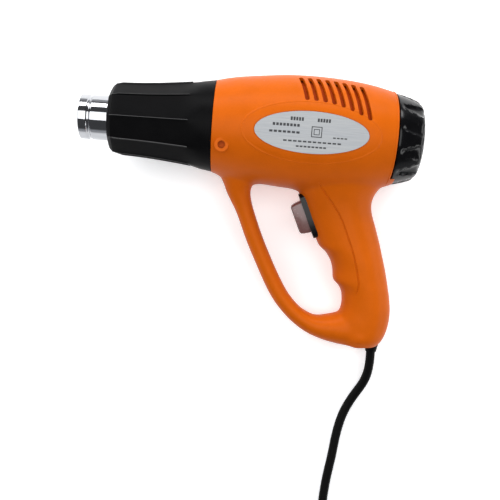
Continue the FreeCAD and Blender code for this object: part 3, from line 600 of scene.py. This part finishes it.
class HEATGUN_OT_housing(bpy.types.Operator):
    """Moulds the two orange halves: barrel, grip and guard in one skin, hollowed, pierced and split"""

    bl_idname = "heatgun.housing"
    bl_label = "Housing Halves"

    def execute(self, context):
        sizes = context.scene.heat_gun_sizes
        barrel = lathe([(-4, 0), *flow(BARREL_LINE, 5), (135, 0)], 120)
        for vert in barrel.verts:
            vert.co.y = max(-SIDE_FLAT, min(SIDE_FLAT, vert.co.y))
        grip = loft([
            Matrix.Translation(((front + rear) / 2, 0, z))
            @ Matrix.Diagonal(((rear - front) / 2, thick, 1, 1))
            for z, front, rear, thick in flow(HANDLE_LINE, 4)])
        line = flow(GUARD_LINE, 5)
        ways = [Vector((b[0] - a[0], 0, b[1] - a[1])).normalized() for a, b in
                zip([line[0], *line[:-1]], [*line[1:], line[-1]])]
        guard = loft([
            basis((x, 0, z), (way.z, 0, -way.x), way) @ Matrix.Diagonal((wide, thick, 1, 1))
            for (x, z, wide, thick), way in zip(line, ways)])
        solids = [BVHTree.FromBMesh(part) for part in (barrel, grip, guard)]
        work = as_object(joined(barrel, grip, guard))
        skin = work.modifiers.new("Remesh", "REMESH")
        skin.mode, skin.voxel_size = "VOXEL", sizes.grain * 1000
        outer = applied(work)
        # The blend: a point that has a second body near it, at an angle, moves out towards the fillet.
        reach = sizes.fillet * 1000
        outer.normal_update()
        moves = []
        for vert in outer.verts:
            near = [solid.find_nearest(vert.co, reach) for solid in solids]
            near = sorted((n for n in near if n[0]), key=lambda n: n[3])
            lift = 0.0
            for other in near[1:]:
                turned = min(1.0, max(0.0, 1.0 - near[0][1].dot(other[1])))
                lift = max(lift, turned * reach / 4 * (1 - other[3] / reach) ** 2)
            moves.append(lift)
        for vert, lift in zip(outer.verts, moves):
            vert.co += vert.normal * lift
        blended = [vert for vert, lift in zip(outer.verts, moves) if lift > 0.05]
        for _ in range(12):
            bmesh.ops.smooth_vert(outer, verts=blended, factor=0.5, use_axis_x=True, use_axis_y=True,
                                  use_axis_z=True)
        for _ in range(8):
            bmesh.ops.smooth_vert(outer, verts=outer.verts, factor=0.5, use_axis_x=True, use_axis_y=True,
                                  use_axis_z=True)
        outer.normal_update()
        inner = outer.copy()
        for vert in inner.verts:
            vert.co -= vert.normal * sizes.wall * 1000
        skin = BVHTree.FromBMesh(outer)
        posts = combine(self.posts(), outer.copy(), "INTERSECT")
        shell = combine(outer, inner, "DIFFERENCE")
        shell = combine(shell, posts, "UNION")
        shell = combine(shell, self.boss(), "UNION")
        rim = lathe([(128.6 + 0.7 * math.cos(a), 34.2 + 0.7 * math.sin(a)) for a in
                     (math.tau * i / 12 for i in range(12))], 120)
        shell = combine(shell, rim, "UNION")
        oval = [(LABEL_MID[0] + CONTOUR[0] * math.cos(a), CONTOUR[1] * math.sin(a)) for a in
                (math.tau * i / 160 for i in range(160))]
        shell = combine(shell, bead(skin, oval, -1, 1.1, 0.9, closed=True), "UNION")
        for side in (-1, 1):
            crease = bead(skin, flow(CREASE_LINE, 8), side, 0.7, 0.1)
            shell = combine(shell, crease, "DIFFERENCE")
        shell = combine(shell, self.cutters(), "DIFFERENCE")
        baffle = lathe([(56, 36.6), (56, 37.6), (75, 38), (95, 36.8), (110, 35), (110, 34), (95, 35.8),
                        (75, 37)], 96)
        for vert in baffle.verts:
            vert.co.y = max(-35.4, min(35.4, vert.co.y))
        # The insert takes the darkened ABS, painted shade for the inside of the air slots.
        finished("air_baffle", baffle, "gun", "orange_abs", finish("slot_shade_abs"), sharp=40)
        gap = sizes.parting * 1000 / 2
        for name, sign in (("housing_left", -1), ("housing_right", 1)):
            keep = bmesh.new()
            bmesh.ops.create_cube(keep, size=400, matrix=Matrix.Translation((30, sign * (200 + gap), -60)))
            half = combine(shell.copy(), keep, "INTERSECT")
            shape = finished(f"{name}_shell", half, "gun", "orange_abs", finish("orange_abs"), sharp=40,
                             stands_for=(name,))
            shape.data.validate()
        shell.free()
        return {"FINISHED"}

    def boss(self):
        """The tubular boss that stands out of both sides at the front."""
        return rod(9.8, 68.8, BOSS[0], 0, BOSS[1], sides=48)

    def posts(self):
        """The columns that the housing's screws go into."""
        return joined(*(rod(2 * r, 120, x, 0, z) for x, z, _, r in SCREW_WELLS))

    def cutters(self):
        """The end planes, slots, switch opening, boss hole, the cord's way out and the screw wells."""
        parts = [
            pad(40, 120, 120, 5, Matrix.Translation((-19.8, 0, 0))),
            pad(40, 120, 66, 5, Matrix.Translation((149.4, 0, 5))),
            rod(5.4, 20, BOSS[0], 39.2, BOSS[1]),
            rod(5.4, 20, BOSS[0], -39.2, BOSS[1]),
            pad(35.4, 16.8, 26, 4.2, basis(SWITCH_MID + SWITCH_OUT * 3, SWITCH_DOWN, SWITCH_OUT), sides=32),
            oval(LABEL_LONG + 0.5, LABEL_HIGH + 0.5, 1.0, -SIDE_FLAT - 0.15, 1, 96),
        ]
        for side in (-1, 1):
            for i in range(8):
                high, low = math.radians(66 - 0.15 * i * i), math.radians(33.4 - 0.27 * i * i)
                ends = [Vector((x, side * 42 * math.cos(a), 42 * math.sin(a))) for x, a in
                        ((59.9 + 6.12 * i, high), (59.9 + 6.12 * i + 4.7 + 0.15 * i, low))]
                mid = (high + low) / 2
                out = Vector((0, side * math.cos(mid), math.sin(mid)))
                along = ends[1] - ends[0]
                along -= out * along.dot(out)
                parts.append(pad(along.length + 2, 3.3, 18, 1.65,
                                 basis((ends[0] + ends[1]) / 2 - out * 2, along, out), sides=16))
        for x, z, seat, _ in SCREW_WELLS:
            parts.append(rod(5.8, 30, x, seat + 15, z))
        way = Vector((math.sin(math.radians(20)), 0, -math.cos(math.radians(20))))
        parts.append(pad(11.2, 11.2, 24, 5.6, basis(Vector(CORD_EXIT) + way * 2, (0, 1, 0), way), sides=32))
        return joined(*parts)


class HEATGUN_OT_nose(bpy.types.Operator):
    """Moulds the faceted black nose and draws the bright outlet tube that it holds"""

    bl_idname = "heatgun.nose"
    bl_label = "Nose and Outlet"

    def execute(self, context):
        count = context.scene.heat_gun_sizes.shroud_facets
        skin = flow([(-76, 21.2), (-75.4, 23), (-73.4, 25.1), (-70, 26.3), (-52, 27.2), (-35, 28.7),
                     (-19, 30.6),
                     (-8, 32.2), (-0.3, 33.4)], 4)
        wall = [(-0.3, 30.8), (-8, 29.6), (-35, 26), (-60, 23.5), (-71, 22.5), (-73, 17.3), (-76, 17.3),
                (-76, 19.8)]
        bm = lathe(skin + wall, count * 8)
        step = math.tau / count
        turned = math.radians(31.5)
        for vert in bm.verts:
            r = math.hypot(vert.co.y, vert.co.z)
            if r < 24.8 and vert.co.x > -72 or r < 21:
                continue
            ease = min(1.0, (vert.co.x + 77) / 2, max(0.0, (-9 - vert.co.x) / 12))
            off = ((math.atan2(vert.co.z, vert.co.y) - turned) % step) - step / 2
            flat = math.cos(step / 2) / math.cos(off)
            k = 1 + (flat - 1) * ease
            vert.co.y *= k
            vert.co.z *= k
        # A thin ridge runs along each corner between two flats.
        ridges = [bm]
        for i in range(count):
            angle = turned + i * step
            out = Vector((0, math.cos(angle), math.sin(angle)))
            ridges.append(loft([
                basis(Vector((x, 0, 0)) + out * (r - 0.1), out, TO_REAR) @ Matrix.Diagonal((0.85, 0.5, 1, 1))
                for x, r in [(-73, 25.1), (-68, 26.4), (-60, 26.75), (-52, 27.2), (-43, 27.9), (-35, 28.7),
                             (-25, 29.8), (-17, 30.8)]
            ], 12))
            for face in ridges[-1].faces:
                face.material_index = 1
        bm = joined(*ridges)
        finished("nose_shroud", bm, "gun", "black_nylon", finish("black_nylon"), finish("black_gloss"),
                 sharp=22,
                 stands_for=("heat_shroud",))
        r = NOZZLE_R
        tube = lathe([
            *((NOZZLE_TIP + 0.7 - 0.7 * math.cos(math.radians(a)), r - 0.7 + 0.7 * math.sin(math.radians(a)))
              for a in range(-20, 91, 10)),
            (NOZZLE_TIP + 1.2, r), (-92.6, r), (-92.1, r - 0.02),
            *((-90.6 + 1.5 * math.sin(math.radians(a)), r - 0.42 - 0.4 * math.cos(math.radians(2 * a)))
              for a in range(-80, 81, 10)),
            (-89.1, r - 0.02), (-88.6, r), (-84, r), (-76, r), (-30, r), (6, r), (6, r - 0.8),
            (NOZZLE_TIP + 2, r - 0.8),
            (NOZZLE_TIP + 0.7, r - 0.9)], 160)
        finished("outlet_tube", tube, "gun", "plated_steel", finish("plated_steel"), sharp=50,
                 stands_for=("nozzle_tube",))
        return {"FINISHED"}


class HEATGUN_OT_cap(bpy.types.Operator):
    """Moulds the glossy black rear cap with its wedge-shaped flutes and its ring of air slots"""

    bl_idname = "heatgun.cap"
    bl_label = "Rear Cap"

    def execute(self, context):
        count = context.scene.heat_gun_sizes.cap_flutes
        skin = flow([(130.4, 33.2), (131.2, 33.6), (136, 32.5), (141, 31.1), (145, 29.8), (147.6, 28.6),
                     (149.2, 26.9),
                     (149.9, 24.6), (150, 22)], 5)
        bm = lathe(skin + [(150, 6), (147.4, 6), (147.4, 24), (145.5, 26.4), (130.4, 30)], count * 12)
        step = math.tau / count
        for vert in bm.verts:
            r = math.hypot(vert.co.y, vert.co.z)
            if r < 23 or vert.co.x > 145.4 and r < 25 or r < 30 and vert.co.x < 140:
                continue
            t = min(1.0, max(0.0, (vert.co.x - 132) / 16))
            off = abs((math.atan2(vert.co.z, vert.co.y) % step) - step / 2) / (step / 2)
            width = 0.16 + 0.5 * t
            dip = 1.5 * min(1.0, t * 5) * max(0.0, 1 - (off / width) ** 2) ** 0.5 if off < width else 0.0
            dip *= min(1.0, max(0.0, (r - 23.5) / 3))
            k = 1 - dip / r
            vert.co.y *= k
            vert.co.z *= k
        slots = [pad(10, 2.6, 12, 1.3, basis((148, 15 * math.cos(a), 15 * math.sin(a)),
                                             (0, math.cos(a), math.sin(a)), (1, 0, 0)), sides=16)
                 for a in (math.tau * i / 12 for i in range(12))]
        hub = lathe([(147.2, 0), (147.2, 6.4), (149.6, 6.4), (150, 6.0), (150, 0)], count * 12)
        bm = combine(bm, hub, "UNION")
        bm = combine(bm, joined(*slots), "DIFFERENCE")
        finished("rear_cap_shell", bm, "gun", "black_gloss", finish("black_gloss"), sharp=30,
                 stands_for=("rear_cap",))
        return {"FINISHED"}


class HEATGUN_OT_switch(bpy.types.Operator):
    """Moulds the black switch frame and the smoky button that rocks in it"""

    bl_idname = "heatgun.switch"
    bl_label = "Switch"

    def execute(self, context):
        mid = SWITCH_MID
        rim = pad(35, 16.4, 9, 4, basis(mid - SWITCH_OUT * 2.9, SWITCH_DOWN, SWITCH_OUT), sides=48)
        hole = pad(27, 12.2, 20, 2.4, basis(mid, SWITCH_DOWN, SWITCH_OUT), sides=32)
        rim = combine(rim, hole, "DIFFERENCE")
        finished("switch_frame", rim, "gun", "black_gloss", finish("black_gloss"), sharp=40, bevel=0.0007,
                 stands_for=("switch_bezel",))
        button = pad(25.4, 11.2, 13, 2.6, Matrix(), sides=48)
        bmesh.ops.subdivide_edges(button,
                                  edges=[e for e in button.edges
                                         if abs(e.verts[0].co.z - e.verts[1].co.z) > 1],
                                  cuts=4, use_grid_fill=True)
        for vert in button.verts:
            lift = (vert.co.z + 6.5) / 13
            vert.co.x *= 1 - 0.1 * lift * lift
            vert.co.y *= 1 - 0.08 * lift * lift
            vert.co.z += 4.5 - 1.6 * lift * (vert.co.x / 12) ** 2
        corners = [e for e in button.edges if e.calc_face_angle(0) > math.radians(40)]
        bmesh.ops.bevel(button, geom=corners, offset=1.2, segments=3, profile=0.5, affect="EDGES",
                        material=-1)
        # The groove that turns on the pin, with a running gap.
        bore = rod(2.5, 24, 0, 0, -2)
        button = combine(button, bore, "DIFFERENCE")
        button.transform(basis(mid, SWITCH_DOWN, SWITCH_OUT))
        finished("switch_button", button, "rocker", "smoke_plastic", finish("smoke_plastic"), sharp=40,
                 stands_for=("switch_rocker",))
        return {"FINISHED"}


class HEATGUN_OT_label(bpy.types.Operator):
    """Lays the oval foil label in its recess, with printed bars and a double square"""

    bl_idname = "heatgun.label"
    bl_label = "Label"

    def execute(self, context):
        plate = oval(LABEL_LONG, LABEL_HIGH, 0.3, -SIDE_FLAT - 0.14, -1, 128)
        finished("label_plate", plate, "gun", "label_foil", finish("label_foil"), sharp=30,
                 stands_for=("rating_label",))
        # Rows of plain dashes: (first x, last x, z, height, dash length).
        marks = []
        for first, last, z, high, dash in ((54, 63.5, 8.6, 2.4, 1.9), (72.5, 81.5, 8.6, 2.4, 1.9),
                                           (42, 62, 4.2, 1.9, 2.4), (40, 63, -0.6, 1.5, 3.1),
                                           (84, 94, -2.6, 0.9, 2.6),
                                           (50, 90, -6.4, 1.1, 3.4), (59, 80, -9.8, 1.1, 2.7)):
            x = first
            while x + dash * 0.7 <= last:
                marks.append((x + dash * 0.35, z, dash * 0.72, high))
                x += dash
        for half, line in ((3.4, 0.6), (1.8, 0.5)):
            for off in (-half, half):
                marks += [(72.5 + off, 0.6, line, 2 * half + line), (72.5, 0.6 + off, 2 * half - line, line)]
        ink = joined(*(self.mark(*mark) for mark in marks))
        finished("label_print", ink, "gun", "label_foil", finish("print_ink"), sharp=30)
        return {"FINISHED"}

    def mark(self, x, z, long, high):
        """One printed bar of the label."""
        bm = bmesh.new()
        bmesh.ops.create_cube(bm, size=1, matrix=Matrix.Translation((x, -SIDE_FLAT - 0.3, z))
                              @ Matrix.Diagonal((long, 0.04, high, 1)))
        return bm


class HEATGUN_OT_inside(bpy.types.Operator):
    """Gives every part that keeps its own shape the finish of its slot"""

    bl_idname = "heatgun.inside"
    bl_label = "Inner Parts"

    def execute(self, context):
        for slot, names in INNER_FINISHES.items():
            for name in names:
                parts = frame["nodes"][name].data.materials
                parts.clear()
                parts.append(finish(slot))
        return {"FINISHED"}


class HEATGUN_PT_sidebar(bpy.types.Panel):
    """Lists the gun's pieces, sizes and colours"""

    bl_label = "Heat Gun"
    bl_idname = "HEATGUN_PT_sidebar"
    bl_space_type = "VIEW_3D"
    bl_region_type = "UI"
    bl_category = "Heat Gun"

    def draw(self, context):
        for group in (context.scene.heat_gun_sizes, context.scene.heat_gun_colours):
            box = self.layout.box()
            for key in group.bl_rna.properties.keys():
                if key not in {"rna_type", "name"}:
                    box.prop(group, key)
        for step in OPERATORS:
            self.layout.operator(step.bl_idname)


OPERATORS = (HEATGUN_OT_stage, HEATGUN_OT_cord, HEATGUN_OT_housing, HEATGUN_OT_nose, HEATGUN_OT_cap,
             HEATGUN_OT_switch, HEATGUN_OT_label, HEATGUN_OT_inside)
CLASSES = (HeatGunColours, HeatGunSizes, *OPERATORS, HEATGUN_PT_sidebar)


def register():
    for kind in CLASSES:
        bpy.utils.register_class(kind)
    bpy.types.Scene.heat_gun_colours = bpy.props.PointerProperty(type=HeatGunColours)
    bpy.types.Scene.heat_gun_sizes = bpy.props.PointerProperty(type=HeatGunSizes)


def unregister():
    del bpy.types.Scene.heat_gun_sizes
    del bpy.types.Scene.heat_gun_colours
    for kind in reversed(CLASSES):
        bpy.utils.unregister_class(kind)


def main():
    """Builds the whole gun on its stage."""
    register()
    bpy.ops.heatgun.stage()
    bpy.ops.heatgun.cord()
    bpy.ops.heatgun.housing()
    bpy.ops.heatgun.nose()
    bpy.ops.heatgun.cap()
    bpy.ops.heatgun.switch()
    bpy.ops.heatgun.label()
    bpy.ops.heatgun.inside()


if __name__ == "__main__":
    main()
